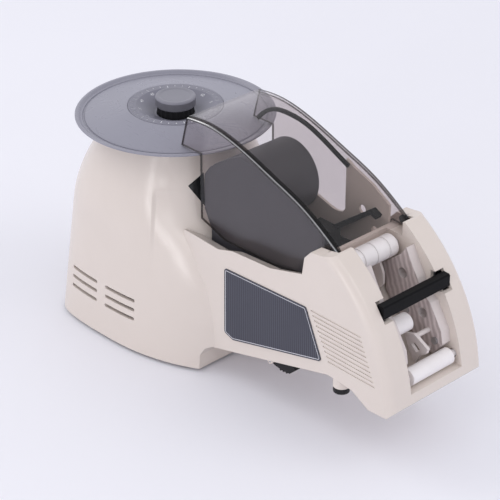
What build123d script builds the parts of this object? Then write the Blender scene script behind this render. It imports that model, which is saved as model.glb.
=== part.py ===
"""Electric tape dispenser.  Millimetres, X forward to the mouth, Z up from the floor, the side in the photo at -Y."""
import os
from math import cos, hypot, pi, radians, sin, sqrt

from build123d import *

os.makedirs("parts", exist_ok=True)

# Main sizes of the machine
turntable_radius = 73.5
nose_reach = 263.0
cover_height = 190.5
nose_half_width = 46.0
mouth_half_width = 25.0
chamber_half_width = 36.0
wall = 3.0
rest_gap = 0.3
running_gap = 0.05
spindle_x = (turntable_radius - nose_reach) / 2

# Bell and foot
foot_height = 2.5
bell_top = 158.0
neck_radius = 48.0
waist_radius = 68.5
waist_height = 95.0
foot_half_width = 75.0
foot_rear = 68.0
foot_front = 82.3
bell_front_flare = 49.0
foot_squareness = 5.3
bell_points = 32
base_plate_thickness = 2.5
base_screw_places = ((-51.5, 60.5), (-51.5, -60.5), (74, 48), (74, -48))

# Nose, seen from the side
sill_height = 106.6
deck_height = 98.0
recess_height = 133.0
chamber_front = 185.0
recess_front = 203.0
mouth_floor = 55.5
front_low = 48.5
ridge_height = 143.5
sill_drop = 4.5
underside_start = 113.6
underside_height = 28.0
underside_slope = 0.276
ridge_fillet = 6.0

# Turntable
rim_height = 164.3
dial_radius = 35.0
dial_top = 169.3
dial_thickness = 1.6
dial_low = dial_top - dial_thickness
funnel_radius = 28.6
well_radius = 15.2
hub_seat = 161.4
knob_radius = 14.8
knob_top = 176.6
knob_depth = 7.6
collar_radius = 13.6
collar_spigot = 10.5
spindle_radius = 5.0
spindle_thread_radius = 3.5
washer_height = 1.0

# Cover
cover_half_width = 35.5
cover_skin = 2.0
cover_pivot = (196.0, 139.5)
cover_pin_radius = 2.0
cover_pin_reach = 3.0
rim_clearance = 0.8

# Drum and chamber furniture
drum_centre = (92.0, 138.0)
drum_radius = 26.5
drum_half_length = 30.0
drum_shaft_radius = 4.0
plate_thickness = 2.0
plate_half_span = 33.0
tray_thickness = 1.5
under_cover_gap = 6.0

# Mouth
top_roller_centre = (197.0, 125.5)
top_roller_radius = 8.0
feed_roller_centre = (231.5, 88.0)
feed_roller_radius = 6.5
exit_roller_centre = (253.5, 62.6)
exit_roller_radius = 6.0
roller_half_length = 20.0
cheek_inner = 17.0
cheek_outer = 24.7
roller_shaft_radius = 2.5
frame_thickness = 2.0

# Gears, module one
gear_module = 1.0
feed_teeth = 20
idler_teeth = 36
pinion_teeth = 12
idler_bearing = 190.0
pinion_bearing = 192.0
gear_face = 6.0
gear_outer_y = 40.0

# Cutter bar
bar_x = (235.0, 241.0)
bar_z = (106.0, 116.0)
bar_half_length = 32.3
bar_stroke = 4.0
rail_thickness = 2.0

# Fasteners
screw_radius = 1.5
screw_head_radius = 3.0
base_head_radius = 2.6


def ahead(distance):
    """X of a place given by its distance in front of the turntable axis."""
    return spindle_x + distance


def along(points):
    """Side view points (distance in front of the axis, height) as X-Z points of the model."""
    return [(ahead(distance), height) for distance, height in points]


def side_plane(y):
    """Plane of a side view sketch at one y; an extrusion from it goes to -Y."""
    return Plane.XZ.offset(-y)


def plate(points, y_low, y_high):
    """Flat piece with a side view outline, from y_low to y_high."""
    with BuildPart() as piece:
        with BuildSketch(side_plane(y_high)):
            Polygon(*along(points), align=None)
        extrude(amount=y_high - y_low)
    return piece.part


def rod(centre, radius, y_low, y_high):
    """Round bar lying along Y."""
    with BuildPart() as piece:
        with BuildSketch(side_plane(y_high)):
            with Locations((ahead(centre[0]), centre[1])):
                Circle(radius)
        extrude(amount=y_high - y_low)
    return piece.part


def block(x_range, y_range, z_range):
    """Box given by its distances in front of the axis, its y and its heights."""
    with BuildPart() as piece:
        middle = (ahead(sum(x_range) / 2), sum(y_range) / 2, sum(z_range) / 2)
        with Locations(middle):
            Box(x_range[1] - x_range[0], y_range[1] - y_range[0], z_range[1] - z_range[0])
    return piece.part


def upright(x, y, z_low, z_high, radius):
    """Round bar standing along Z, x given in front of the axis."""
    with BuildPart() as piece:
        with Locations((ahead(x), y, (z_low + z_high) / 2)):
            Cylinder(radius, z_high - z_low)
    return piece.part


def save(piece, name):
    """Label one piece and write its file."""
    piece.label = name
    export_step(piece, f"parts/{name}.step")


def underside(distance):
    """Height of the sloping underside of the nose."""
    return underside_height + underside_slope * (distance - underside_start)


def bell_outline(height, inset):
    """Closed outline of the bell at one height: round at the neck, a rounded square at the foot.

    The front half is an ellipse that flares under the nose; the rear half is a superellipse whose exponent grows
    from two at the neck to foot_squareness at the floor.
    """
    fall = min(1.0, (bell_top - height) / (bell_top - waist_height))
    radius = neck_radius + (waist_radius - neck_radius) * (1 - (1 - fall) ** 2)
    low = max(0.0, 1 - height / waist_height)
    half_width = radius + (foot_half_width - waist_radius) * low ** 1.5 - inset
    rear = radius + (foot_rear - waist_radius) * low - inset
    lift = min(1.0, max(0.0, (height - 40.0) / 80.0))
    front = radius + bell_front_flare * (1 - lift ** 2) ** 1.5 - inset
    power = 2 + (foot_squareness - 2) * (1 - height / bell_top) ** 1.2
    outline = []
    for index in range(bell_points):
        turn = 2 * pi * index / bell_points
        c, s = cos(turn), sin(turn)
        if c >= 0:
            outline.append((spindle_x + front * c, half_width * s))
        else:
            x = -rear * abs(c) ** (2 / power)
            y = half_width * abs(s) ** (2 / power) * (1 if s >= 0 else -1)
            outline.append((spindle_x + x, y))
    return outline


def bell(inset):
    """Bell as one solid, drawn inward by inset; the foot is cut flat in front and coved up to the nose."""
    levels = [foot_height - (1 if inset else 0), 12, 24, 36, 48, 60, 71, 82, waist_height, 104, 113, 122, 131, 140, 149]
    with BuildPart() as body:
        for level in levels + [bell_top - inset]:
            with BuildSketch(Plane.XY.offset(level)):
                with BuildLine():
                    Spline(*bell_outline(level, inset), periodic=True)
                make_face()
        loft()
        front = foot_front - inset
        cove = [(front, -5), (front, 14 + inset), (front + 3, 20 + inset),
                (front + 12, underside(front + 12) + 1.8 + inset),
                (underside_start, underside_height + 1 + inset), (200, underside(200) + 1 + inset), (200, -5)]
        with BuildSketch(side_plane(100)):
            Polygon(*along(cove), align=None)
        extrude(amount=200, mode=Mode.SUBTRACT)
    return body.part


def nose_outline():
    """Draw the side view of the nose as the lines of the sketch being built."""
    top = [(60, 106.8), (69.6, sill_height), (95.9, 105.3), (110.3, 109.7), (148.4, 112.3), (179, 120.7), (181, 134),
           (187, 140.6), (195.5, 141.5), (205, ridge_height)]
    low = [(nose_reach, front_low), (259.5, 44.5), (243, 43.6), (228, 51.6), (205, 53.3),
           (underside_start, underside_height), (60, underside(60)), (60, 106.8)]
    Polyline(*along(top))
    ThreePointArc(*along([top[-1], (242, 106.5), low[0]]))
    Polyline(*along(low))


def front_arc(distance, inset):
    """Height of the round front at a distance, drawn inward by inset; the arc runs through the ridge and the chin."""
    centre = (132.6, 34.1)
    radius = hypot(nose_reach - centre[0], front_low - centre[1]) - inset
    return centre[1] + sqrt(radius ** 2 - (distance - centre[0]) ** 2)


def hollow_outline():
    """Draw the side view of the hollow in the nose, one wall inside its outline."""
    thick = wall + 0.2
    arc = [(x, front_arc(x, wall)) for x in (205, 240, 259.5)]
    low = [arc[-1], (257.5, 44.1 + thick), (243.5, 43.6 + thick), (229, 51.6 + thick), (205, 53.3 + thick),
           (underside_start, underside_height + thick), (60, underside(60) + thick), (60, deck_height - wall)]
    top = [(60, deck_height - wall), (chamber_front + 1, deck_height - wall), (chamber_front + 1, 130), (190, 137.6),
           (201, 138.4), arc[0]]
    Polyline(*along(top))
    ThreePointArc(*along(arc))
    Polyline(*along(low))


mouth = [(188, 101), (224, mouth_floor), (300, mouth_floor), (300, 200), (188, 200)]


def grown_mouth(margin):
    """Outline of the mouth with a margin left around its back wall and floor."""
    return [(188 - 1.28 * margin, 101), (224 - 1.28 * margin, mouth_floor - margin), (300, mouth_floor - margin),
            (300, 200), (188 - 1.28 * margin, 200)]


# Gear places follow from the tooth counts
def gear_radius(teeth):
    """Pitch radius."""
    return gear_module * teeth / 2


def stepped(centre, distance, bearing):
    """Point at a distance and a bearing from another one in the side view."""
    return (centre[0] + distance * cos(radians(bearing)), centre[1] + distance * sin(radians(bearing)))


idler_centre = stepped(feed_roller_centre, gear_radius(feed_teeth) + gear_radius(idler_teeth), idler_bearing)
pinion_centre = stepped(idler_centre, gear_radius(idler_teeth) + gear_radius(pinion_teeth), pinion_bearing)
idler_turn = 0.0


def meshing_turn(turn, teeth, bearing, next_teeth):
    """Turn of the next gear, in degrees, that puts a gap of it on a tooth of this one."""
    share = (bearing - turn) / (360 / teeth)
    return bearing + 180 - (0.5 - share) * (360 / next_teeth)


feed_turn = meshing_turn(idler_turn, idler_teeth, idler_bearing + 180, feed_teeth)
pinion_turn = meshing_turn(idler_turn, idler_teeth, pinion_bearing, pinion_teeth)


def gear(centre, teeth, turn, y_low, y_high, bore):
    """Spur gear along Y with straight flanks, thinned a little for play."""
    radius = gear_radius(teeth)
    step = 360 / teeth
    points = []
    for index in range(teeth):
        for offset, r in ((-0.34, radius - 1.25), (-0.12, radius + 0.9), (0.12, radius + 0.9), (0.34, radius - 1.25)):
            bearing = radians(turn + (index + offset) * step)
            points.append((centre[0] + r * cos(bearing), centre[1] + r * sin(bearing)))
    with BuildPart() as piece:
        add(plate(points, y_low, y_high))
        add(rod(centre, bore, y_low - 1, y_high + 1), mode=Mode.SUBTRACT)
    return piece.part


# Housing: bell, nose and everything moulded with them
with BuildPart() as main_housing:
    with BuildSketch(side_plane(nose_half_width)):
        with BuildLine():
            nose_outline()
        make_face()
    extrude(amount=2 * nose_half_width)
    front_edges = main_housing.edges().filter_by(GeomType.CIRCLE)
    fillet(front_edges, ridge_fillet)
    # Chamber between the walls, the recess for the cover's ears and the mouth
    chamber = [(50, deck_height), (chamber_front, deck_height), (chamber_front, recess_height),
               (recess_front, recess_height), (recess_front, 220), (50, 220)]
    add(plate(chamber, -chamber_half_width, chamber_half_width), mode=Mode.SUBTRACT)
    add(plate(mouth, -mouth_half_width, mouth_half_width), mode=Mode.SUBTRACT)
    # Sloping ledge of the sill, cut with a sheared prism so that it follows the sill's own line
    ledge = nose_half_width - chamber_half_width
    sill = [(60, 106.8), (69.6, sill_height), (95.9, 105.3), (110.3, 109.7), (148.4, 112.3), (179, 120.7), (179, 220),
            (60, 220)]
    lowered = [(x, z - sill_drop) for x, z in sill]
    for side in (-1, 1):
        with BuildSketch(side_plane(side * chamber_half_width)):
            Polygon(*along(lowered), align=None)
        extrude(amount=hypot(ledge, sill_drop), dir=(0, side * ledge, sill_drop), mode=Mode.SUBTRACT)
    add(bell(0))
    # Boss of the thumb screw under the nose
    add(upright(212.5, -40, 46, 56, 6))
    # Hollow of the bell and of the nose
    add(bell(wall), mode=Mode.SUBTRACT)
    with BuildPart(mode=Mode.PRIVATE) as nose_hollow:
        with BuildSketch(side_plane(nose_half_width - wall)):
            with BuildLine():
                hollow_outline()
            make_face()
        extrude(amount=2 * (nose_half_width - wall))
        keep = [(40, deck_height - wall), (chamber_front + 1, deck_height - wall), (chamber_front + 1, 220), (40, 220)]
        add(plate(keep, -60, 60), mode=Mode.SUBTRACT)
        recess_keep = [(180, recess_height - wall), (recess_front + wall, recess_height - wall),
                       (recess_front + wall, 220), (180, 220)]
        reach = chamber_half_width + wall
        add(plate(recess_keep, -reach, reach), mode=Mode.SUBTRACT)
        reach = mouth_half_width + wall
        add(plate(grown_mouth(wall), -reach, reach), mode=Mode.SUBTRACT)
        add(upright(212.5, -40, 40, 64, 6), mode=Mode.SUBTRACT)
    add(nose_hollow.part, mode=Mode.SUBTRACT)
    # Threaded bosses for the base screws, joined to the wall beside them
    for x, y in base_screw_places:
        add(upright(x, y, foot_height + base_plate_thickness, 26, 5.6))
        add(upright(x, y, 0, 22, screw_radius - 0.2), mode=Mode.SUBTRACT)
    # Opening of the bottom cover with a rebate for its edge
    opening = [(123, underside(123) - 6), (197, underside(197) - 6), (197, underside(197) + 5), (123, underside(123) + 5)]
    add(plate(opening, -38, 38), mode=Mode.SUBTRACT)
    rebate = [(120, underside(120) - 6), (200, underside(200) - 6), (200, underside(200) + 2), (120, underside(120) + 2)]
    add(plate(rebate, -41, 41), mode=Mode.SUBTRACT)
    # Notch of the cutter bar through both walls of the mouth
    add(block((bar_x[0] - bar_stroke - 1, 250), (-33, 33), (bar_z[0] - 1.5, bar_z[1] + 1.5)), mode=Mode.SUBTRACT)
    # Bores for the shafts of the rollers, in the walls of the mouth
    reach = mouth_half_width + wall + 1
    for centre in (top_roller_centre, exit_roller_centre):
        add(rod(centre, roller_shaft_radius + 0.6, -reach, reach), mode=Mode.SUBTRACT)
    add(rod(feed_roller_centre, roller_shaft_radius + 0.6, -reach, -mouth_half_width + 1), mode=Mode.SUBTRACT)
    # Blind bores of the cover's pins and the bore of the thumb screw
    reach = chamber_half_width + cover_pin_reach
    add(rod(cover_pivot, cover_pin_radius + running_gap, -reach, reach), mode=Mode.SUBTRACT)
    add(upright(212.5, -40, 40, 60, 2 + running_gap), mode=Mode.SUBTRACT)
    # Bore and seat of the spindle
    add(upright(0, 0, 150, 165, spindle_radius + running_gap), mode=Mode.SUBTRACT)
    # Vent slots, the same on both sides
    for side in (-1, 1):
        for middle in (-26, 14.2):
            for level in (28.0, 35.5, 43.0):
                with BuildSketch(side_plane(side * 70 + 10)):
                    with Locations((ahead(middle), level)):
                        SlotOverall(31, 2.6)
                extrude(amount=20, mode=Mode.SUBTRACT)
    # Fine grooves beside the nameplate, each running to the slope of the front
    for index in range(11):
        level = 64.0 + 3.25 * index
        start = 205 - 17 * index / 10
        end = 248 - 14 * index / 10
        add(block((start, end), (-nose_half_width - 1, -nose_half_width + 0.6), (level - 0.6, level + 0.6)),
            mode=Mode.SUBTRACT)
    # Openings for the power inlet and the switch in the rear wall
    add(block((-80, -60), (-32, -12), (20, 34)), mode=Mode.SUBTRACT)
    add(block((-80, -60), (12, 33), (20, 34)), mode=Mode.SUBTRACT)
save(main_housing.part, "main_housing")

# Base plate that closes the foot, with holes for its screws
with BuildPart() as base_plate:
    with BuildSketch(Plane.XY.offset(foot_height)):
        with BuildLine():
            Spline(*bell_outline(foot_height, wall + 2 * rest_gap), periodic=True)
        make_face()
    extrude(amount=2.5)
    limit = foot_front - wall - rest_gap
    add(block((limit, 200), (-100, 100), (0, 10)), mode=Mode.SUBTRACT)
    for x, y in base_screw_places:
        add(upright(x, y, 0, 10, screw_radius + 0.1), mode=Mode.SUBTRACT)
        add(upright(x, y, foot_height - 1, foot_height + 1.2, base_head_radius + 0.2), mode=Mode.SUBTRACT)
save(base_plate.part, "base_plate")

with BuildPart() as base_screws:
    for x, y in base_screw_places:
        add(upright(x, y, foot_height + 1.2, 15, screw_radius - 0.2))
        add(upright(x, y, foot_height - 0.4, foot_height + 1.2, base_head_radius))
save(base_screws.part, "base_screws")

with BuildPart() as rubber_feet:
    for x in (-44, 58):
        for y in (-44, 44):
            with BuildSketch(Plane.XY):
                with Locations((ahead(x), y)):
                    Circle(9)
            extrude(amount=foot_height, taper=-8)
save(rubber_feet.part, "rubber_feet")

# Bottom cover of the nose with the ears of the latch lever
latch_pivot = (143.0, 32.6)
with BuildPart() as bottom_cover:
    inner = [(120.3, underside(120.3)), (199.7, underside(199.7)), (199.7, underside(199.7) + 2), (120.3, underside(120.3) + 2)]
    add(plate(inner, -40.7, 40.7))
    ear = [(139.5, underside(139.5) + 1), (140.5, 31.5), (143, 30), (145.5, 31.5), (147, underside(147) + 1)]
    for low in (-40.6, -29.1):
        add(plate(ear, low, low + 1.7))
    add(rod(latch_pivot, 1.2, -41, -27), mode=Mode.SUBTRACT)
    for x in (124.5, 195.5):
        for y in (-36, 36):
            add(upright(x, y, underside(x) - 4, underside(x) + 6, screw_radius), mode=Mode.SUBTRACT)
save(bottom_cover.part, "bottom_cover")

with BuildPart() as latch_lever:
    shape = [(139.6, 31.4), (143, 35), (162.2, 39.2), (166.6, 34.6), (160.9, 29.4), (154.4, 28.6), (146.8, 29.4)]
    add(plate(shape, -38.5, -29.5))
    add(rod(latch_pivot, 1.2 + 0.05, -39, -29), mode=Mode.SUBTRACT)
    for index in range(3):
        add(block((151 + 3 * index, 152 + 3 * index), (-38.5, -29.5), (27.8 + 0.2 * index, 31)))
save(latch_lever.part, "latch_lever")

with BuildPart() as latch_pin:
    add(rod(latch_pivot, 1.2, -40.6, -27.4))
save(latch_pin.part, "latch_pin")

with BuildPart() as bottom_screws:
    for x in (124.5, 195.5):
        for y in (-36, 36):
            add(upright(x, y, underside(x) - 0.9, underside(x) + 4.5, screw_radius))
            add(upright(x, y, underside(x) - 2.4, underside(x) - 0.9, screw_head_radius))
save(bottom_screws.part, "bottom_screws")

with BuildPart() as thumb_screw:
    with BuildSketch(Plane.XY.offset(41.8)):
        with Locations((ahead(212.5), -40)):
            RegularPolygon(5.8, 16)
    extrude(amount=3.8)
    add(upright(212.5, -40, 45.6, 58, 2))
save(thumb_screw.part, "thumb_screw")

# Turntable on its spindle, which turns with it in the top of the bell
with BuildPart() as spindle:
    add(upright(0, 0, 150, hub_seat, spindle_radius))
    add(upright(0, 0, 152, bell_top - wall - rest_gap, 14))
    add(upright(0, 0, hub_seat, 174, spindle_thread_radius))
save(spindle.part, "spindle")

with BuildPart() as thrust_washer:
    add(upright(0, 0, bell_top, bell_top + washer_height, 13))
    add(upright(0, 0, bell_top - 1, bell_top + 3, spindle_radius + running_gap), mode=Mode.SUBTRACT)
save(thrust_washer.part, "thrust_washer")


def turned(profile):
    """Revolves a half section, given as radius and height, about the turntable axis."""
    with BuildPart() as piece:
        with BuildSketch(Plane.XZ):
            with Locations((spindle_x, 0)):
                Polygon(*profile, align=None)
        revolve(axis=Axis((spindle_x, 0, 0), (0, 0, 1)))
    return piece.part


plate_low = bell_top + washer_height
underside_line = [(spindle_radius, plate_low), (13, plate_low), (funnel_radius - 0.6, dial_low - 2.2),
                  (dial_radius + 1, dial_low - 1.5), (64, plate_low + 1.6), (66.5, plate_low + 1.1)]
rim_line = [(turntable_radius - 0.2, rim_height - 1.4), (turntable_radius, rim_height - 1.1),
            (turntable_radius, rim_height - 0.5), (turntable_radius - 0.5, rim_height), (71.4, rim_height),
            (70.4, rim_height - 0.7), (69.4, rim_height - 1.7), (68.2, rim_height - 1.8), (67.8, rim_height - 2.6),
            (66.7, rim_height - 2.6), (66.3, rim_height - 1.7)]
seat_line = [(dial_radius + 1.2, dial_top - 0.3), (dial_radius + 0.2, dial_top - 0.4), (dial_radius + 0.2, dial_low),
             (funnel_radius, dial_low), (well_radius, hub_seat), (spindle_radius, hub_seat)]
save(turned(underside_line + rim_line + seat_line), "turntable")

# Dial ring: a flat scale round a funnel that leads down to the knob
well = collar_radius + 0.4
lift = 0.15
dial_section = [(well, hub_seat + lift), (well_radius, hub_seat + lift), (funnel_radius - 0.3, dial_low),
                (dial_radius, dial_low), (dial_radius, dial_top - 0.4), (dial_radius - 0.4, dial_top),
                (funnel_radius + 0.3, dial_top), (well_radius + 0.4, hub_seat + 1.6), (well, hub_seat + 1.45)]
with BuildPart() as dial_ring:
    add(turned(dial_section))
    for index in range(36):
        length = 3.8 if index % 3 == 0 else 2.2
        with BuildSketch(Plane.XY.offset(dial_top - 0.35)):
            with Locations((spindle_x, 0)):
                with PolarLocations(dial_radius - 1.8 - length / 2, 1, start_angle=10 * index):
                    Rectangle(length, 0.8)
        extrude(amount=1, mode=Mode.SUBTRACT)
save(dial_ring.part, "dial_ring")

# Knob with a shallow dish on top, over a ribbed collar
collar_low = hub_seat + rest_gap
knob_low = knob_top - knob_depth
thread_bore = spindle_thread_radius + running_gap
knob_section = [(0, knob_low), (knob_radius - 0.8, knob_low), (knob_radius, knob_low + 0.8),
                (knob_radius, knob_top - 1.2), (knob_radius - 0.4, knob_top - 0.4), (knob_radius - 1.4, knob_top),
                (knob_radius - 2.4, knob_top - 0.1), (knob_radius - 4.0, knob_top - 0.6), (0, knob_top - 0.8)]
with BuildPart() as clamp_knob:
    add(turned(knob_section))
    add(upright(0, 0, 160, 174.5, thread_bore), mode=Mode.SUBTRACT)
    add(upright(0, 0, 160, knob_low + 1.6, collar_spigot), mode=Mode.SUBTRACT)
save(clamp_knob.part, "clamp_knob")

with BuildPart() as knob_collar:
    ribs = 20
    outline = []
    for index in range(2 * ribs):
        turn = pi * index / ribs
        r = collar_radius - (0.7 if index % 2 else 0.0)
        outline.append((spindle_x + r * cos(turn), r * sin(turn)))
    with BuildSketch(Plane.XY.offset(collar_low)):
        Polygon(*outline, align=None)
    extrude(amount=knob_low - collar_low)
    add(upright(0, 0, knob_low - 1, knob_low + 1.6, collar_spigot))
    add(upright(0, 0, 160, 175, thread_bore), mode=Mode.SUBTRACT)
save(knob_collar.part, "knob_collar")

# Smoked cover: a curved top with two side panels, open behind, in front and below
crown = [(53, 188.9), (74, cover_height), (106, 184.9), (140, 173.2), (168.5, 162.2), (199.2, 143.6)]
panel_low = rim_height + rim_clearance


def under_crown(distance, drop):
    """Height of the cover's top above a place, less a drop, between the points of the crown."""
    for (x0, z0), (x1, z1) in zip(crown, crown[1:]):
        if x0 <= distance <= x1:
            return z0 + (z1 - z0) * (distance - x0) / (x1 - x0) - drop
    return crown[-1][1] - drop


with BuildPart() as cover:
    long_crown = [(40, 186.6)] + crown + [(206, 139.0)]
    with BuildSketch(side_plane(cover_half_width)):
        with BuildLine():
            Spline(*along(long_crown))
            Polyline(*along([long_crown[-1], (206, 100), (40, 100), long_crown[0]]))
        make_face()
    extrude(amount=2 * cover_half_width)
    fillet([edge for edge in cover.edges() if edge.geom_type == GeomType.BSPLINE], 3.2)
    skirt = [(199.2, 200), (199.2, 144.5), (201, 141), (200.6, 137.5), (198, 134.9), (194, 134.7), (184.2, 134.9),
             (180.2, 123.5), (168.6, 111.6), (137.4, 107.0), (90.8, 106.2), (66.5, 114.2), (66.5, panel_low),
             (46.6, panel_low), (56, 200)]
    add(plate(skirt, -50, 50), mode=Mode.INTERSECT)
    inner_half = cover_half_width - cover_skin
    lowered = [(x, z - cover_skin - 0.2) for x, z in long_crown]
    with BuildSketch(side_plane(inner_half)):
        with BuildLine():
            Spline(*along(lowered))
            Polyline(*along([lowered[-1], (206, 90), (40, 90), lowered[0]]))
        make_face()
    extrude(amount=2 * inner_half, mode=Mode.SUBTRACT)
    add(rod(cover_pivot, cover_pin_radius, -cover_half_width - 1, cover_half_width + 1), mode=Mode.SUBTRACT)
save(cover.part, "cover")

with BuildPart() as cover_pins:
    pin_out = chamber_half_width + cover_pin_reach - 0.4
    for side in (-1, 1):
        ends = sorted((side * inner_half, side * pin_out))
        add(rod(cover_pivot, cover_pin_radius, *ends))
        head = sorted((side * (inner_half - 1), side * inner_half))
        add(rod(cover_pivot, cover_pin_radius + 1.2, *head))
save(cover_pins.part, "cover_pins")

# Chamber: side plate, guide wall, tray, drum
plate_low_y = plate_half_span - plate_thickness
with BuildPart() as near_side_plate:
    outline = [(68, 122), (75, 108), (75, deck_height), (184.6, deck_height), (184.6, under_crown(184.6, under_cover_gap))]
    for x in (168.5, 140, 120):
        outline.append((x, under_crown(x, under_cover_gap)))
    outline += [(104.6, 175.9), (94, 170.6), (84.3, 164.6), (74, 157.2), (68, 149)]
    add(plate(outline, -plate_half_span, -plate_low_y))
    add(rod(drum_centre, drum_shaft_radius, -40, -20), mode=Mode.SUBTRACT)
save(near_side_plate.part, "near_side_plate")

with BuildPart() as drum_shaft:
    add(rod(drum_centre, drum_shaft_radius, -plate_half_span, drum_half_length - 3))
save(drum_shaft.part, "drum_shaft")

with BuildPart() as tape_drum:
    half = drum_half_length
    add(rod(drum_centre, drum_radius, -half, half))
    add(rod(drum_centre, drum_radius - 3, -half + 3, half + 1), mode=Mode.SUBTRACT)
    add(rod(drum_centre, drum_shaft_radius + 4, -half, half - 6))
    add(rod(drum_centre, drum_shaft_radius + running_gap, -half - 1, half), mode=Mode.SUBTRACT)
    for turn in range(0, 360, 60):
        spoke = stepped(drum_centre, (drum_radius + 4) / 2, turn)
        with BuildSketch(side_plane(half - 8)):
            with Locations((ahead(spoke[0]), spoke[1])):
                Rectangle(drum_radius - 7, 2.4, rotation=turn)
        extrude(amount=2 * half - 10)
save(tape_drum.part, "tape_drum")

with BuildPart() as far_guide_wall:
    outline = [(88, deck_height), (184.6, deck_height), (184.6, under_crown(184.6, under_cover_gap))]
    for x in (168.5, 150):
        outline.append((x, under_crown(x, under_cover_gap)))
    outline += [(143.5, 167), (143.5, 128), (141.5, 124.8), (137.7, 123.6), (133, 123.4), (126.7, 124.9), (111.6, 129.4),
                (100, 122), (88, 108)]
    add(plate(outline, plate_low_y, plate_half_span))
    for x, z in ((160, 134), (172, 122)):
        add(rod((x, z), 3.2, 20, 40), mode=Mode.SUBTRACT)
save(far_guide_wall.part, "far_guide_wall")

with BuildPart() as tray:
    add(block((86.5, 184.6), (-plate_low_y, plate_low_y), (deck_height, deck_height + tray_thickness)))
    for side in (-1, 1):
        lip = sorted((side * plate_low_y, side * (plate_low_y - 1.5)))
        add(block((90, 184.6), lip, (deck_height, deck_height + 7)))
save(tray.part, "tray")

floor = deck_height + tray_thickness
with BuildPart() as guide_block:
    outline = [(117, floor), (141, floor), (141, 112.6), (121, 112.6), (117, 108)]
    add(plate(outline, 19, plate_low_y - 1.5))
save(guide_block.part, "guide_block")

with BuildPart() as guide_bar:
    bar = [(135.5, 112.6), (141.6, 112.6), (172.8, 136.6), (177.4, 134.6), (178.6, 137.2), (172.2, 140.4), (139, 115.6)]
    add(plate(bar, 25.5, plate_low_y))
save(guide_bar.part, "guide_bar")

# Thin curved strip under the top of the cover
with BuildPart() as wire_guide:
    upper = [(54.5, 168.6), (60.2, 174.8), (67.9, 180.2), (76.1, 182.8), (86, 183.6), (102.9, 182), (125, 174.2), (147, 164)]
    with BuildSketch(side_plane(plate_low_y)):
        with BuildLine():
            Spline(*along(upper))
            Polyline(*along([upper[-1], (146, 161.5)]))
            Spline(*along([(146, 161.5), (124.4, 171.4), (102.5, 179.2), (86, 180.8), (76.8, 180.1), (69.4, 177.6),
                           (62.4, 172.7), (57, 167)]))
            Line(*along([(57, 167), upper[0]]))
        make_face()
    extrude(amount=plate_thickness)
save(wire_guide.part, "wire_guide")

# Mouth: cheeks, frames, rollers
cheek_screw_places = ((217, 84), (244, 71.5))
cheek = [(193.6, 111.2), (209.3, 124.2), (214.3, 131.2), (220.2, 120.5), (225.6, 112), (228.8, 104.6), (238, 98),
         (249, 80.5), (250.6, 71), (243.5, 61.2), (240, 60.6), (223.2, 69.7), (202.4, 86), (197.4, 93), (197.4, 99),
         (195.4, 105.4)]
with BuildPart() as far_cheek:
    add(plate(cheek, cheek_inner, cheek_outer + rest_gap))
    for centre in ((212.1, 110.8), feed_roller_centre):
        add(rod(centre, 3.8, 10, 30), mode=Mode.SUBTRACT)
    for centre in cheek_screw_places:
        add(rod(centre, 1.3, 10, 30), mode=Mode.SUBTRACT)
save(far_cheek.part, "far_cheek")

with BuildPart() as near_cheek:
    add(plate(cheek, -cheek_outer - rest_gap, -cheek_inner))
    add(rod((212.1, 110.8), 3.8, -30, -10), mode=Mode.SUBTRACT)
    add(rod(feed_roller_centre, roller_shaft_radius + 0.6, -30, -10), mode=Mode.SUBTRACT)
    for centre in cheek_screw_places:
        add(rod(centre, 1.3, -30, -10), mode=Mode.SUBTRACT)
save(near_cheek.part, "near_cheek")

with BuildPart() as cheek_screws:
    for centre in cheek_screw_places:
        for side in (-1, 1):
            ends = sorted((side * cheek_inner, side * (mouth_half_width - 1)))
            add(rod(centre, 1.3, *ends))
            head = sorted((side * (cheek_inner - 1.2), side * cheek_inner))
            add(rod(centre, 2.6, *head))
save(cheek_screws.part, "cheek_screws")


def frame(y_low, y_high, bores):
    """Steel side frame in one wall of the nose, inside the arc of the front."""
    points = [(166, 93), (187.5, 93), (187.5, 128), (205, 128)]
    arc_centre, arc_radius = (132.6, 34.1), 126.2
    for x in (214, 222, 230, 240, 250, 256):
        points.append((x, arc_centre[1] + sqrt(arc_radius ** 2 - (x - arc_centre[0]) ** 2)))
    points += [(256, 52.5), (232, 56), (205, 58.5), (166, 62)]
    with BuildPart() as piece:
        add(plate(points, y_low, y_high))
        add(block((bar_x[0] - bar_stroke - 1, 260), (-60, 60), (bar_z[0] - 1.5, bar_z[1] + 1.5)), mode=Mode.SUBTRACT)
        for centre, radius in bores:
            add(rod(centre, radius, y_low - 1, y_high + 1), mode=Mode.SUBTRACT)
    return piece.part


frame_inner = mouth_half_width + wall
frame_outer = frame_inner + frame_thickness
shaft_bore = roller_shaft_radius + running_gap
shared_bores = [(top_roller_centre, shaft_bore), (exit_roller_centre, shaft_bore)]
idler_stud_radius = 2.0
near_bores = shared_bores + [(feed_roller_centre, shaft_bore), (idler_centre, idler_stud_radius), (pinion_centre, 4.0)]
with BuildPart() as near_frame:
    add(frame(-frame_outer, -frame_inner, near_bores))
save(near_frame.part, "near_frame")

with BuildPart() as far_frame:
    add(frame(frame_inner, frame_outer, shared_bores))
save(far_frame.part, "far_frame")

roller_reach = frame_outer + 1.2
with BuildPart() as top_roller:
    add(rod(top_roller_centre, top_roller_radius, -roller_half_length, roller_half_length))
    add(rod(top_roller_centre, roller_shaft_radius, -roller_reach, roller_reach))
    for y in (-12, 0, 12):
        with BuildPart(mode=Mode.PRIVATE) as ring:
            add(rod(top_roller_centre, top_roller_radius + 1, y - 0.6, y + 0.6))
            add(rod(top_roller_centre, top_roller_radius - 0.6, y - 1, y + 1), mode=Mode.SUBTRACT)
        add(ring.part, mode=Mode.SUBTRACT)
save(top_roller.part, "top_roller")

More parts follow.
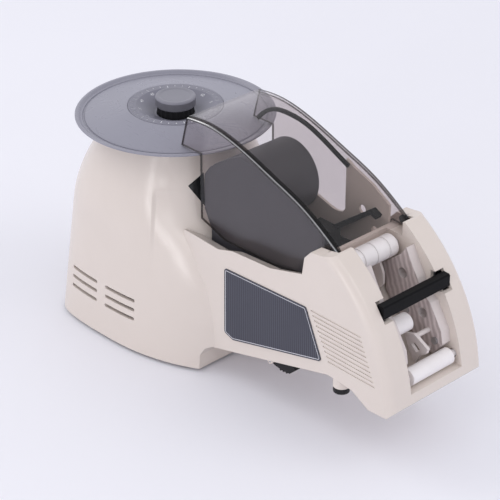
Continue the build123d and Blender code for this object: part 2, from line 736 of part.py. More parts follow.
with BuildPart() as exit_roller:
    add(rod(exit_roller_centre, exit_roller_radius, -roller_half_length, roller_half_length))
    add(rod(exit_roller_centre, roller_shaft_radius, -roller_reach, roller_reach))
save(exit_roller.part, "exit_roller")

gear_inner_y = gear_outer_y - gear_face
with BuildPart() as feed_roller:
    add(rod(feed_roller_centre, feed_roller_radius, -cheek_inner + 0.5, 1))
    add(rod(feed_roller_centre, 3.6, -2, 2), mode=Mode.SUBTRACT)
    add(rod(feed_roller_centre, roller_shaft_radius, -gear_outer_y - 1, -2))
save(feed_roller.part, "feed_roller")

with BuildPart() as feed_gear:
    add(gear(feed_roller_centre, feed_teeth, feed_turn, -gear_outer_y, -gear_inner_y, roller_shaft_radius))
save(feed_gear.part, "feed_gear")

with BuildPart() as idler_stud:
    add(rod(idler_centre, idler_stud_radius, -gear_outer_y - 1.6, -frame_inner))
    add(rod(idler_centre, idler_stud_radius + 1.4, -gear_outer_y - 1.6, -gear_outer_y - 0.6))
    add(rod(idler_centre, idler_stud_radius + 1.4, -gear_inner_y + 0.6, -frame_outer))
save(idler_stud.part, "idler_stud")

with BuildPart() as idler_gear:
    add(gear(idler_centre, idler_teeth, idler_turn, -gear_outer_y, -gear_inner_y, idler_stud_radius + running_gap))
    for turn in range(0, 360, 60):
        hole = stepped(idler_centre, 10.5, turn)
        add(rod(hole, 3.2, -50, -30), mode=Mode.SUBTRACT)
save(idler_gear.part, "idler_gear")

motor_radius = 14.5
with BuildPart() as feed_motor:
    add(rod(pinion_centre, motor_radius, -frame_inner, 16))
    add(rod(pinion_centre, 5, 16, 19))
    for y in (-14, 6):
        with BuildPart(mode=Mode.PRIVATE) as ring:
            add(rod(pinion_centre, motor_radius + 1, y - 0.7, y + 0.7))
            add(rod(pinion_centre, motor_radius - 0.5, y - 1, y + 1), mode=Mode.SUBTRACT)
        add(ring.part, mode=Mode.SUBTRACT)
    add(rod(pinion_centre, 1.5 + running_gap, -30, -4), mode=Mode.SUBTRACT)
save(feed_motor.part, "feed_motor")

with BuildPart() as motor_pinion:
    add(gear(pinion_centre, pinion_teeth, pinion_turn, -gear_outer_y, -gear_inner_y, 1.2))
    add(rod(pinion_centre, 1.5, -gear_outer_y - 0.6, -4.5))
save(motor_pinion.part, "motor_pinion")

# Slotted guide plate held off the far cheek by two posts, and a small stripper tab behind it
with BuildPart() as slot_plate:
    shape = [(229.6, 77.4), (238, 80.2), (250.6, 73.6), (249.6, 69.6), (243.8, 65.4), (240.4, 57.6), (234.4, 66)]
    add(plate(shape, 2, 4.6))
    slot = [(235.4, 71.4), (239.2, 73.8), (244.6, 70.2), (241, 67)]
    add(plate(slot, 0, 6), mode=Mode.SUBTRACT)
    for centre in ((237.6, 77.4), (239.4, 63.8)):
        add(rod(centre, 1.8, 4.6, cheek_inner))
save(slot_plate.part, "slot_plate")

with BuildPart() as stripper_plate:
    shape = [(188.2, 110.2), (197.3, 115.8), (201.1, 108.3), (201.5, 100.4), (199.6, 97.2), (191.2, 97), (188, 101)]
    add(plate(shape, 9.5, 11.5))
    add(block((188, 193), (8, 13), (101, 103)))
save(stripper_plate.part, "stripper_plate")

# Cutter bar: the bar across the mouth, its two rails, the toothed blade under it and the plunger that draws it in
rail_z = (108.5, 113.5)
rail_rear = 200.0
with BuildPart() as cutter_bar:
    add(block(bar_x, (-bar_half_length, bar_half_length), bar_z))
    for side in (-1, 1):
        y = sorted((side * (bar_half_length - rail_thickness), side * bar_half_length))
        add(block((rail_rear, bar_x[0]), y, rail_z))
    link = (bar_half_length - rail_thickness, 41.0)
    add(block((rail_rear - 3, rail_rear), link, rail_z))
    ends = cutter_bar.edges().filter_by(Axis.Y).sort_by(Axis.X)[-2:]
    chamfer(ends, 1.0)
save(cutter_bar.part, "cutter_bar")

with BuildPart() as cutter_blade:
    teeth = 22
    half = 15.5
    edge = [(-half, 6.0)]
    for index in range(teeth):
        left = -half + 2 * half * index / teeth
        edge += [(left, 1.4), (left + half / teeth, 0.0)]
    edge += [(half, 1.4), (half, 6.0)]
    with BuildSketch(Plane.YZ.offset(ahead(bar_x[0]))):
        with Locations((0, bar_z[0] - 3)):
            Polygon(*edge, align=None)
    extrude(amount=-0.8)
save(cutter_blade.part, "cutter_blade")

plunger_centre = (37.6, 111.0)
with BuildPart() as cutter_plunger:
    with BuildSketch(Plane.YZ.offset(ahead(rail_rear))):
        with Locations(plunger_centre):
            Circle(2.0)
    extrude(amount=16)
save(cutter_plunger.part, "cutter_plunger")

with BuildPart() as solenoid:
    add(block((207, 225), (33.4, nose_half_width - wall), (104, 116.5)))
    with BuildSketch(Plane.YZ.offset(ahead(206))):
        with Locations(plunger_centre):
            Circle(2.0 + 0.1)
    extrude(amount=14, mode=Mode.SUBTRACT)
save(solenoid.part, "solenoid")

with BuildPart() as bar_guides:
    for side in (-1, 1):
        outer = sorted((side * frame_outer, side * (bar_half_length + 0.1 + (0.8 if side > 0 else 1.6))))
        add(block((209, 219), outer, (rail_z[0] - 2.4, rail_z[1] + 2.4)))
        slot = sorted((side * (frame_outer + 0.2), side * (bar_half_length + 0.1)))
        add(block((200, 230), slot, (rail_z[0] - 0.1, rail_z[1] + 0.1)), mode=Mode.SUBTRACT)
save(bar_guides.part, "bar_guides")

# Electrics in the foot
board_low = foot_height + 2.5 + 6
with BuildPart() as circuit_board:
    add(block((12, 66), (-30, 30), (board_low, board_low + 1.6)))
    for x in (16, 62):
        for y in (-26, 26):
            add(upright(x, y, foot_height + 2.5, board_low, 2.6))
    add(block((20, 34), (-20, -4), (board_low + 1.6, board_low + 5)))
    add(block((42, 58), (4, 22), (board_low + 1.6, board_low + 12)))
    for y in (8, 16, 24):
        add(upright(26, y, board_low + 1.6, board_low + 13, 3.2))
save(circuit_board.part, "circuit_board")

with BuildPart() as transformer:
    add(block((-46, 2), (-20, 20), (foot_height + 2.5, foot_height + 5)))
    add(block((-38, -6), (-19, 19), (foot_height + 5, 44)))
    add(block((-42, -2), (-12, 12), (foot_height + 9, 38)))
save(transformer.part, "transformer")

with BuildPart() as power_inlet:
    add(block((-70.3, -68.25), (-33.5, -10.5), (18.5, 35.5)))
    add(block((-68.25, -50), (-31.6, -12.4), (20.4, 33.6)))
    add(block((-75, -56), (-29, -15), (23, 31)), mode=Mode.SUBTRACT)
    for y in (-25.5, -18.5):
        add(block((-66, -56), (y - 0.8, y + 0.8), (26, 28)))
save(power_inlet.part, "power_inlet")

rocker_pivot = (-67.0, 27.0)
with BuildPart() as switch_housing:
    add(block((-70.3, -68.25), (10.5, 34.5), (18.5, 35.5)))
    add(block((-68.25, -52), (12.4, 32.6), (20.4, 33.6)))
    add(block((-75, -60), (15, 30), (20.9, 33.1)), mode=Mode.SUBTRACT)
    add(rod(rocker_pivot, 1.2 + running_gap, 14.2, 30.8), mode=Mode.SUBTRACT)
save(switch_housing.part, "switch_housing")

with BuildPart() as switch_rocker:
    shape = [(-71.6, 22.8), (-69.6, 27), (-69.8, 31.4), (-66, 31.2), (-64.4, 27), (-66.6, 22.4)]
    add(plate(shape, 15.4, 29.6))
    add(rod(rocker_pivot, 1.2, 14.6, 30.4))
save(switch_rocker.part, "switch_rocker")

# Bare nameplate with rounded corners on the near wall
with BuildPart() as nameplate:
    with BuildSketch(side_plane(-nose_half_width)):
        Polygon(*along([(102.9, 93.3), (183.6, 97.2), (199.4, 61.4), (111.4, 37.9), (102.4, 40.6)]), align=None)
        fillet(vertices(), 2.4)
    extrude(amount=0.7)
save(nameplate.part, "nameplate")
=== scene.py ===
# %% [markdown]
# # Electric tape dispenser
# A bench machine that pulls tape off a roll, pushes a set length out of its mouth and cuts it.
# The solid model is already measured and jointed, so this lesson leaves every shape where it is.
# It adds what a solid model has no words for: light, finishes, printed marks and small trim.

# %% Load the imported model
import math

import bpy
import numpy as np
from mathutils import Matrix, Vector


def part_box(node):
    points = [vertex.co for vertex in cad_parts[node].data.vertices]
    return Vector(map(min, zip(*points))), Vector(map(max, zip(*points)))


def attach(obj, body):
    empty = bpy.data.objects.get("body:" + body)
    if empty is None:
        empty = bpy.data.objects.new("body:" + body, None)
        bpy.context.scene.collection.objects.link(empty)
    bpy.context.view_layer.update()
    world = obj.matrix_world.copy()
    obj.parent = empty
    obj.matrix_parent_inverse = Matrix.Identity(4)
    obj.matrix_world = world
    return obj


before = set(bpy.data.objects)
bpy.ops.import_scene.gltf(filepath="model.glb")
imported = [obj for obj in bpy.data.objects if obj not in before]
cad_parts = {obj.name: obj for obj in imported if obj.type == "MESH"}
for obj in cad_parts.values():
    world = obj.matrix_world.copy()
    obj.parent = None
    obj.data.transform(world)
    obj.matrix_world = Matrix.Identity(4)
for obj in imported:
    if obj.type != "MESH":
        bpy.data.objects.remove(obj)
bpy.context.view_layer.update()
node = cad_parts

# %% [markdown]
# ## Camera
# The photograph looks down at the nose from the front corner of the near side, through a long lens.
# The camera could be aimed by eye, but here its place and its three directions are written down:
# they came from lining up the rim of the turntable and the edges of the nose with the picture.

# %% Camera
camera_spot = Vector((0.8348, -0.7943, 0.7399))
azimuth, elevation = math.radians(46.95), math.radians(29.56)
backward = Vector((math.sin(azimuth) * math.cos(elevation), -math.cos(azimuth) * math.cos(elevation),
                   math.sin(elevation)))
rightward = Vector((math.cos(azimuth), math.sin(azimuth), 0.0))
upward = backward.cross(rightward)

lens = bpy.data.cameras.new("camera")
lens.lens, lens.sensor_width = 133.02, 36.0
lens.clip_start, lens.clip_end = 0.05, 30.0
camera = bpy.data.objects.new("camera", lens)
camera.matrix_world = Matrix((rightward, upward, backward)).transposed().to_4x4()
camera.location = camera_spot
bpy.context.scene.collection.objects.link(camera)
bpy.context.scene.camera = camera
print("camera looks down by", round(math.degrees(elevation), 2), "degrees")

# %% [markdown]
# ## Node trees without clutter
# Materials are trees of nodes, and a long tree hides its idea. Small helpers keep the idea in sight. The
# first adds a node with its settings. The others stand for the steps that every tree repeats: arithmetic,
# products, ramps, mixed colours and the three Object coordinates.

# %% Helpers for single nodes
def add(tree, kind, sockets=None, **settings):
    """Adds a node. A socket given as an output is linked, and any other value is set on it."""
    made = tree.nodes.new("ShaderNode" + kind)
    for key, value in settings.items():
        setattr(made, key, value)
    for key, value in (sockets or {}).items():
        if isinstance(value, bpy.types.NodeSocket):
            tree.links.new(value, made.inputs[key])
        else:
            made.inputs[key].default_value = value
    return made


def calc(tree, operation, *values, clamp=False):
    """The result of one step of arithmetic on one, two or three values."""
    return add(tree, "Math", dict(enumerate(values)), operation=operation, use_clamp=clamp).outputs[0]


def product(tree, first, *rest):
    """The product of several values."""
    for value in rest:
        first = calc(tree, "MULTIPLY", first, value)
    return first


def ramp(tree, value, start, end, low=0.0, high=1.0, kind="LINEAR"):
    """Goes from low to high while value goes from start to end, and stays level beyond both."""
    return add(tree, "MapRange", {"Value": value, "From Min": start, "From Max": end, "To Min": low,
                                  "To Max": high}, interpolation_type=kind).outputs[0]


def mix(tree, share, under, over):
    """The colour under where share is nought, and over where it is one. Each is an output or three
    numbers."""
    under, over = [colour if isinstance(colour, bpy.types.NodeSocket) else (*colour, 1)
                   for colour in (under, over)]
    return add(tree, "Mix", {0: share, 6: under, 7: over}, data_type="RGBA").outputs[2]


def object_axes(tree):
    """The X, Y and Z of the Object coordinates as three outputs."""
    split = add(tree, "SeparateXYZ", {0: add(tree, "TexCoord").outputs["Object"]})
    return split.outputs["X"], split.outputs["Y"], split.outputs["Z"]


print("helpers for single nodes ready")

# %% [markdown]
# The other helpers make a whole material or a node group, place a group in a material, and paint a colour
# over part of a finish that exists already.

# %% Helpers for materials and groups
def finish_named(name, **values):
    """A material with one Principled shader. The values go straight onto the shader's own sockets."""
    material = bpy.data.materials.new(name)
    material.use_nodes = True
    tree = material.node_tree
    shader = tree.nodes["Principled BSDF"]
    for key, value in values.items():
        shader.inputs[key.replace("_", " ")].default_value = value
    return material, tree, shader


def cloudy(name, scale, detail, first, second, **values):
    """A plain finish whose colour drifts between first and second with a noise of the given scale."""
    material, tree, shader = finish_named(name, **values)
    where = add(tree, "TexCoord").outputs["Object"]
    cloud = add(tree, "TexNoise", {"Vector": where, "Scale": scale, "Detail": detail}).outputs["Fac"]
    tree.links.new(mix(tree, cloud, first, second), shader.inputs["Base Color"])
    return material


def group_named(name, inputs, outputs):
    """An empty node group with float inputs and their usual values, and the outputs that it gives."""
    tree = bpy.data.node_groups.new(name, "ShaderNodeTree")
    for key, value in inputs.items():
        socket = tree.interface.new_socket(key, in_out="INPUT", socket_type="NodeSocketFloat")
        socket.default_value = value
    for key, kind in outputs.items():
        tree.interface.new_socket(key, in_out="OUTPUT", socket_type="NodeSocket" + kind)
    start, end = tree.nodes.new("NodeGroupInput"), tree.nodes.new("NodeGroupOutput")
    return tree, start, end


def use(tree, group, **values):
    """Places a node group in a material with its own values."""
    placed = tree.nodes.new("ShaderNodeGroup")
    placed.node_tree = group
    for key, value in values.items():
        placed.inputs[key.replace("_", " ")].default_value = value
    return placed


def paint_over(material, mask, colour):
    """Mixes colour over the material's own Base Color where mask is one."""
    tree = material.node_tree
    socket = tree.nodes["Principled BSDF"].inputs["Base Color"]
    tree.links.new(mix(tree, mask, socket.links[0].from_socket, colour), socket)


print("helpers for materials ready")

# %% [markdown]
# ## Effects that several finishes share
# Moulded plastic is never one flat colour. It has a fine spark-eroded grain, a slow change of tone where the
# melt flowed, and edges that handling polishes, painted lighter partly as wear and partly as a painted
# highlight. Each effect is a node group, so that one change improves every finish. Everything reads Object
# coordinates in metres, so the scale is the real one.

# %% Group: grain of a mould
def build_grain():
    """Height is a fine noise and Tone a broad one, each about as large as its input says, in metres."""
    tree, start, end = group_named("mould_grain", {"Grain size": 0.0004, "Tone size": 0.03},
                                   {"Height": "Float", "Tone": "Float"})
    where = add(tree, "TexCoord").outputs["Object"]
    fine = calc(tree, "DIVIDE", 1.0, start.outputs["Grain size"])
    shaded_side = calc(tree, "DIVIDE", 1.0, start.outputs["Tone size"])
    grain = add(tree, "TexNoise", {"Vector": where, "Scale": fine, "Detail": 3.0, "Roughness": 0.6})
    tone = add(tree, "TexNoise", {"Vector": where, "Scale": shaded_side, "Detail": 2.0, "Distortion": 0.4})
    tree.links.new(grain.outputs["Fac"], end.inputs["Height"])
    tree.links.new(tone.outputs["Fac"], end.inputs["Tone"])
    return tree


grain_group = build_grain()
print("grain group has", len(grain_group.nodes), "nodes")

# %% [markdown]
# Real edges are never perfectly sharp. The Bevel node bends the shading normal near an edge, which catches a
# thin line of light, and its angle to the true normal marks the edges for wear. The lighter colour that this
# mark gets is partly wear and partly a painted highlight.

# %% Group: rounded edges, worn and painted lighter
def build_edges():
    """Edge is one less the product of the two normals, made stronger and broken up by a noise."""
    tree, start, end = group_named("soft_edges", {"Wear": 0.5}, {"Normal": "Vector", "Edge": "Float"})
    true = add(tree, "NewGeometry").outputs["Normal"]
    bent = add(tree, "Bevel", {"Radius": 0.0005}, samples=4).outputs["Normal"]
    match = add(tree, "VectorMath", {0: true, 1: bent}, operation="DOT_PRODUCT").outputs["Value"]
    strong = calc(tree, "MULTIPLY", calc(tree, "SUBTRACT", 1.0, match), 6.0, clamp=True)
    where = add(tree, "TexCoord").outputs["Object"]
    patchy = add(tree, "TexNoise", {"Vector": where, "Scale": 260.0, "Detail": 2.0})
    broken = calc(tree, "MULTIPLY", strong, patchy.outputs["Fac"])
    # This mask places the lighter edge colour: partly wear and partly a painted highlight.
    worn_and_lit = calc(tree, "MULTIPLY", broken, start.outputs["Wear"], clamp=True)
    tree.links.new(bent, end.inputs["Normal"])
    tree.links.new(worn_and_lit, end.inputs["Edge"])
    return tree


edge_group = build_edges()
print("edge group has", len(edge_group.nodes), "nodes")

# %% [markdown]
# Handling leaves marks at two scales: faint hairlines that only roughness shows, and soft smudges.

# %% Group: hairlines and smudges
def build_handling():
    """Mask is the greater of a thin slice of a stretched noise and the high parts of a broad one."""
    tree, start, end = group_named("handling", {"Amount": 0.5}, {"Mask": "Float"})
    where = add(tree, "TexCoord").outputs["Object"]
    smudge = add(tree, "TexNoise", {"Vector": where, "Scale": 38.0, "Detail": 4.0, "Distortion": 1.2})
    stretched = add(tree, "Mapping", {"Vector": where, "Rotation": (0.4, 0.9, 0.3),
                                      "Scale": (1.0, 14.0, 14.0)})
    hair = add(tree, "TexNoise", {"Vector": stretched.outputs[0], "Scale": 60.0, "Detail": 1.0})
    line = ramp(tree, hair.outputs["Fac"], 0.68, 0.72)
    soft = ramp(tree, smudge.outputs["Fac"], 0.45, 0.75)
    both = calc(tree, "MAXIMUM", line, soft)
    tree.links.new(calc(tree, "MULTIPLY", both, start.outputs["Amount"], clamp=True), end.inputs["Mask"])
    return tree


handling_group = build_handling()
print("handling group has", len(handling_group.nodes), "nodes")

# %% [markdown]
# Rolled and ground metal carries fine parallel lines. A noise becomes lines when it is squeezed across
# them. The three inputs say how strongly it is squeezed along each axis.

# %% Group: ground lines
def build_lines():
    """Height is the noise of the squeezed place, and Shade is that times a slow cloud."""
    tree, start, end = group_named("ground_lines", {"Along X": 1.0, "Along Y": 40.0, "Along Z": 40.0},
                                   {"Height": "Float", "Shade": "Float"})
    where = add(tree, "TexCoord").outputs["Object"]
    squeeze = add(tree, "CombineXYZ", {"X": start.outputs["Along X"], "Y": start.outputs["Along Y"],
                                       "Z": start.outputs["Along Z"]})
    pressed = add(tree, "VectorMath", {0: where, 1: squeeze.outputs[0]}, operation="MULTIPLY")
    lines = add(tree, "TexNoise", {"Vector": pressed.outputs[0], "Scale": 90.0, "Detail": 4.0,
                                   "Roughness": 0.7})
    cloud = add(tree, "TexNoise", {"Vector": where, "Scale": 70.0, "Detail": 2.0})
    tree.links.new(lines.outputs["Fac"], end.inputs["Height"])
    tree.links.new(product(tree, lines.outputs["Fac"], cloud.outputs["Fac"]), end.inputs["Shade"])
    return tree


lines_group = build_lines()
print("lines group has", len(lines_group.nodes), "nodes")

# %% [markdown]
# ## Moulded plastic
# The housing is a cream ABS moulding with a spark-eroded skin. Inner pieces and black trim come from smoother
# tools. One recipe serves them all: grain drives bump and roughness, the slow tone shifts the colour a
# little, edges turn lighter, partly as wear and partly as a painted highlight, and handling leaves smoother
# spots. Every recipe in this lesson ends with the same links to its shader, so those have a function of their
# own.

# %% Recipe for mouldings
def link_skin(tree, shader, edges, colour, worn_and_lit, rough, height, strength, distance):
    """Links the colour, going to a lighter one on the edges as wear and partly as a painted highlight, the
    roughness, and a bump of height over the rounded edges.
    """
    # The lighter edge colour stands for wear, for dust on rubber, and partly for a painted highlight.
    tree.links.new(mix(tree, edges.outputs["Edge"], colour, worn_and_lit), shader.inputs["Base Color"])
    tree.links.new(rough, shader.inputs["Roughness"])
    relief = add(tree, "Bump", {"Height": height, "Strength": strength, "Distance": distance,
                                "Normal": edges.outputs["Normal"]})
    tree.links.new(relief.outputs[0], shader.inputs["Normal"])


def moulding(name, pale, deep, roughness, grain=0.0004, depth=0.25, worn_and_lit=None, wear_and_sheen=0.4, **values):
    """Base Color runs from deep to pale with the tone, and on the edges to a lighter colour that stands for
    wear and partly for a painted highlight. Roughness is its plain value plus a share of the grain, less a
    share of the handling mask."""
    material, tree, shader = finish_named(name, **values)
    skin = use(tree, grain_group, Grain_size=grain)
    edges = use(tree, edge_group, Wear=wear_and_sheen)
    touched = use(tree, handling_group, Amount=0.35)
    body = mix(tree, skin.outputs["Tone"], deep, pale)
    rough = ramp(tree, skin.outputs["Height"], 0.0, 1.0, roughness - 0.25 * depth, roughness + 0.3 * depth)
    used = calc(tree, "MULTIPLY_ADD", touched.outputs["Mask"], -0.12, rough, clamp=True)
    link_skin(tree, shader, edges, body, worn_and_lit or pale, used, skin.outputs["Height"], depth, grain * 0.25)
    return material


cream = moulding("cream shell", (0.735, 0.660, 0.606), (0.704, 0.628, 0.573), 0.22, depth=0.12,
                 worn_and_lit=(0.83, 0.76, 0.71))
cream_inner = moulding("cream inner", (0.80, 0.735, 0.715), (0.74, 0.675, 0.655), 0.44, grain=0.0003,
                       depth=0.1)
cheek_cream = moulding("cheek cream", (0.72, 0.655, 0.640), (0.66, 0.595, 0.580), 0.42, grain=0.0003,
                       depth=0.1)
dark_base = moulding("dark base", (0.050, 0.050, 0.054), (0.032, 0.032, 0.035), 0.62, grain=0.0005, depth=0.4)
black_trim = moulding("black trim", (0.016, 0.015, 0.017), (0.009, 0.009, 0.010), 0.46, grain=0.0003,
                      depth=0.05, worn_and_lit=(0.05, 0.05, 0.055), Specular_IOR_Level=0.25)
rocker_black = moulding("rocker black", (0.014, 0.014, 0.015), (0.009, 0.009, 0.010), 0.22, grain=0.0003,
                        depth=0.08)
drum_grey = moulding("drum grey", (0.070, 0.069, 0.082), (0.054, 0.053, 0.063), 0.46, grain=0.0003,
                     depth=0.04, worn_and_lit=(0.10, 0.10, 0.11), Specular_IOR_Level=0.35)
nylon = moulding("nylon", (0.74, 0.72, 0.66), (0.66, 0.64, 0.58), 0.40, grain=0.0006, depth=0.15,
                 Subsurface_Weight=0.08)
gear_nylon = moulding("gear nylon", (0.70, 0.68, 0.62), (0.60, 0.58, 0.53), 0.45, grain=0.0005, depth=0.2,
                      wear_and_sheen=0.8, worn_and_lit=(0.80, 0.79, 0.74))
print("nine mouldings, the first is", cream.name)

# %% [markdown]
# The bell of the housing isn't quite round where the nose leaves it. Beyond a line that runs down from
# under the turntable the surface is scooped out by about a millimetre. The solid has the round form, and
# this shallow relief is written as a height over the surface, in metres, which bends the shading.

# %% Scoop beside the bell
spindle_x = -0.09475


def add_scoop(material, depth=0.0009):
    """With b the bearing off the nose in degrees and z the height, the scoop is sunk by depth where b is
    between 49 and 54 and z is between 100 and 124 mm, and rises smoothly to the round form around that."""
    tree = material.node_tree
    forward, sideways, high = object_axes(tree)
    ahead = calc(tree, "SUBTRACT", forward, spindle_x)
    bearing = calc(tree, "ARCTAN2", calc(tree, "ABSOLUTE", sideways), ahead)
    flanks = ((bearing, 1.000, 0.940), (bearing, 0.50, 0.86), (high, 0.132, 0.124), (high, 0.070, 0.100))
    steps = [ramp(tree, value, start, end, kind="SMOOTHSTEP") for value, start, end in flanks]
    inside = product(tree, *steps)
    normal = tree.nodes["Principled BSDF"].inputs["Normal"]
    form = add(tree, "Bump", {"Height": inside, "Strength": 1.0, "Distance": depth,
                              "Normal": normal.links[0].from_socket}, invert=True)
    tree.links.new(form.outputs[0], normal)


add_scoop(cream)
print("scoop written into", cream.name)

# %% [markdown]
# ## Rubber
# The rollers carry pale silicone sleeves that grip the sticky side without holding it. They have a fine
# ground surface with lines that run round. The feet are black nitrile rubber with a bloom of dust.

# %% Rubber finishes
def rubber(name, pale, deep, roughness, bloom):
    """Colour runs from deep to pale with a cloudy noise, and bloom is the dusty colour of the edges."""
    material, tree, shader = finish_named(name, Specular_IOR_Level=0.35)
    skin = use(tree, grain_group, Grain_size=0.00025, Tone_size=0.012)
    ground = use(tree, lines_group, Along_X=14.0, Along_Y=1.5, Along_Z=14.0)
    edges = use(tree, edge_group, Wear=0.5)
    body = mix(tree, skin.outputs["Tone"], deep, pale)
    rough = ramp(tree, ground.outputs["Shade"], 0.0, 0.5, roughness - 0.05, roughness + 0.1)
    link_skin(tree, shader, edges, body, bloom, rough, ground.outputs["Height"], 0.2, 0.00012)
    return material


roller_white = rubber("roller silicone", (0.90, 0.865, 0.865), (0.82, 0.785, 0.785), 0.5, (0.92, 0.90, 0.90))
foot_rubber = rubber("foot rubber", (0.028, 0.027, 0.026), (0.014, 0.014, 0.014), 0.75, (0.10, 0.10, 0.09))
print("rubber finishes ready")

# %% [markdown]
# ## Metals and lacquers
# Pins and blades are ground bright, the frame plates are zinc plated, and the gears are cut from brass.
# Metal takes its look from its roughness, so the ground lines drive that and a faint bump. The black plate
# and bars lie under lacquer, which hides the metal, so the recipe for mouldings suits them better.

# %% Metal finishes
def metal(name, pale, deep, roughness, along=(1.0, 30.0, 30.0), metallic=1.0):
    """Colour runs from deep to pale with the shade of the lines. Roughness is its plain value plus theirs."""
    material, tree, shader = finish_named(name, Metallic=metallic)
    ground = use(tree, lines_group, Along_X=along[0], Along_Y=along[1], Along_Z=along[2])
    edges = use(tree, edge_group, Wear=0.8)
    touched = use(tree, handling_group, Amount=0.5)
    body = mix(tree, ground.outputs["Shade"], deep, pale)
    rough = ramp(tree, ground.outputs["Height"], 0.0, 1.0, roughness - 0.08, roughness + 0.1)
    used = calc(tree, "MULTIPLY_ADD", touched.outputs["Mask"], 0.12, rough, clamp=True)
    link_skin(tree, shader, edges, body, pale, used, ground.outputs["Height"], 0.25, 0.00005)
    return material


bright_steel = metal("bright steel", (0.72, 0.72, 0.73), (0.50, 0.50, 0.51), 0.24)
screw_steel = metal("screw steel", (0.60, 0.60, 0.61), (0.42, 0.42, 0.43), 0.32, along=(20.0, 20.0, 1.0))
plate_zinc = metal("zinc plate", (0.58, 0.58, 0.60), (0.38, 0.38, 0.41), 0.38, along=(1.0, 12.0, 25.0))
gear_brass = metal("gear brass", (0.80, 0.58, 0.26), (0.58, 0.39, 0.15), 0.30, along=(20.0, 1.0, 20.0))
motor_can = metal("motor can", (0.42, 0.42, 0.43), (0.26, 0.26, 0.27), 0.42, along=(30.0, 1.0, 30.0),
                  metallic=0.6)
core_iron = metal("lacquered core", (0.14, 0.12, 0.11), (0.06, 0.055, 0.05), 0.36, along=(1.0, 60.0, 1.0),
                  metallic=0.3)
black_lacquer = moulding("black lacquer", (0.058, 0.058, 0.070), (0.044, 0.044, 0.054), 0.34, grain=0.0003,
                         depth=0.02, worn_and_lit=(0.12, 0.12, 0.13), Specular_IOR_Level=0.5)
bar_black = moulding("black bar", (0.006, 0.006, 0.007), (0.003, 0.003, 0.004), 0.40, grain=0.0003,
                     depth=0.02, worn_and_lit=(0.05, 0.05, 0.055), Specular_IOR_Level=0.08)
print("six metals and two lacquers")

# %% Dress the nodes so far
finishes = {
    "main_housing": cream, "bottom_cover": cream, "far_guide_wall": cream,
    "far_cheek": cheek_cream, "near_cheek": cheek_cream,
    "slot_plate": cream_inner, "stripper_plate": cream_inner, "base_plate": dark_base,
    "latch_lever": black_trim, "thumb_screw": black_trim, "knob_collar": black_trim,
    "cover_pins": black_trim, "tray": black_trim, "guide_block": black_trim,
    "power_inlet": black_trim, "switch_housing": black_trim, "switch_rocker": rocker_black,
    "tape_drum": drum_grey, "thrust_washer": nylon, "bar_guides": nylon, "feed_gear": gear_nylon,
    "rubber_feet": foot_rubber, "top_roller": roller_white, "exit_roller": roller_white,
    "feed_roller": roller_white, "latch_pin": bright_steel, "spindle": bright_steel,
    "idler_stud": bright_steel, "cutter_blade": bright_steel, "cutter_plunger": bright_steel,
    "base_screws": screw_steel, "bottom_screws": screw_steel, "cheek_screws": screw_steel,
    "near_frame": plate_zinc, "far_frame": plate_zinc, "idler_gear": gear_brass, "motor_pinion": gear_brass,
    "near_side_plate": black_lacquer, "drum_shaft": black_lacquer, "guide_bar": bar_black,
    "wire_guide": bar_black, "cutter_bar": bar_black, "feed_motor": motor_can, "solenoid": motor_can,
    "transformer": core_iron,
}


def dress(name, material):
    """Puts one material in the node's slots and leaves its mesh alone."""
    slots = node[name].data.materials
    if len(slots) == 0:
        slots.append(material)
    for index in range(len(slots)):
        slots[index] = material


for name, material in finishes.items():
    dress(name, material)
print(len(finishes), "nodes dressed")

# %% [markdown]
# The broad sides of the two cheeks are planed, and light and dark streaks run down them. Their colour is also
# painted darker than the pale front edges, as painted shade on the inner faces. The normal tells the two
# apart: a broad side looks along Y.

# %% Streaked cheeks with painted shade
def streak_and_shade(material, dark, light):
    """Mixes a darker streaked colour over the plain one by how far the true normal looks along Y: painted
    shade on the broad sides.
    """
    tree = material.node_tree
    facing = add(tree, "SeparateXYZ", {0: add(tree, "NewGeometry").outputs["True Normal"]}).outputs["Y"]
    shaded_side = ramp(tree, calc(tree, "ABSOLUTE", facing), 0.8, 0.95)
    where = add(tree, "TexCoord").outputs["Object"]
    tilted = add(tree, "Mapping", {"Vector": where, "Rotation": (0, 0.35, 0)})
    lines = use(tree, lines_group, Along_X=9.0, Along_Y=1.0, Along_Z=0.9)
    grooves = add(tree, "TexWave", {"Vector": tilted.outputs[0], "Scale": 70.0, "Distortion": 3.0,
                                    "Detail": 2.0, "Detail Scale": 1.5}, bands_direction="X")
    tone = product(tree, grooves.outputs["Fac"], lines.outputs["Height"])
    # Painted shade: the broad sides get the darker streaked colour, and the front edges keep the pale one.
    paint_over(material, shaded_side, mix(tree, ramp(tree, tone, 0.05, 0.5), dark, light))


streak_and_shade(cheek_cream, (0.48, 0.405, 0.395), (0.70, 0.615, 0.605))
print("cheeks streaked")

# %% [markdown]
# ## Smoked cover
# The cover is a thin shell of smoked acrylic. So each face is a tinted film with a mirror layer on it. A
# slanting ray runs further through the wall, so the tint deepens as the face turns away. Light that is led
# along the sheet leaves at its cut rims, which look dark from the side, and the bent corners between top
# and sides draw a dark line and a bright one next to each other. Rims and bends are found by the normal in
# the cover's own axes, so that they stay put when it is lifted.

# %% Smoked acrylic
def band(tree, value, start, end, soft=0.06):
    """One between start and end, and nought outside, with soft flanks."""
    rise = ramp(tree, value, start - soft, start + soft)
    fall = ramp(tree, value, end + soft, end - soft)
    return product(tree, rise, fall)


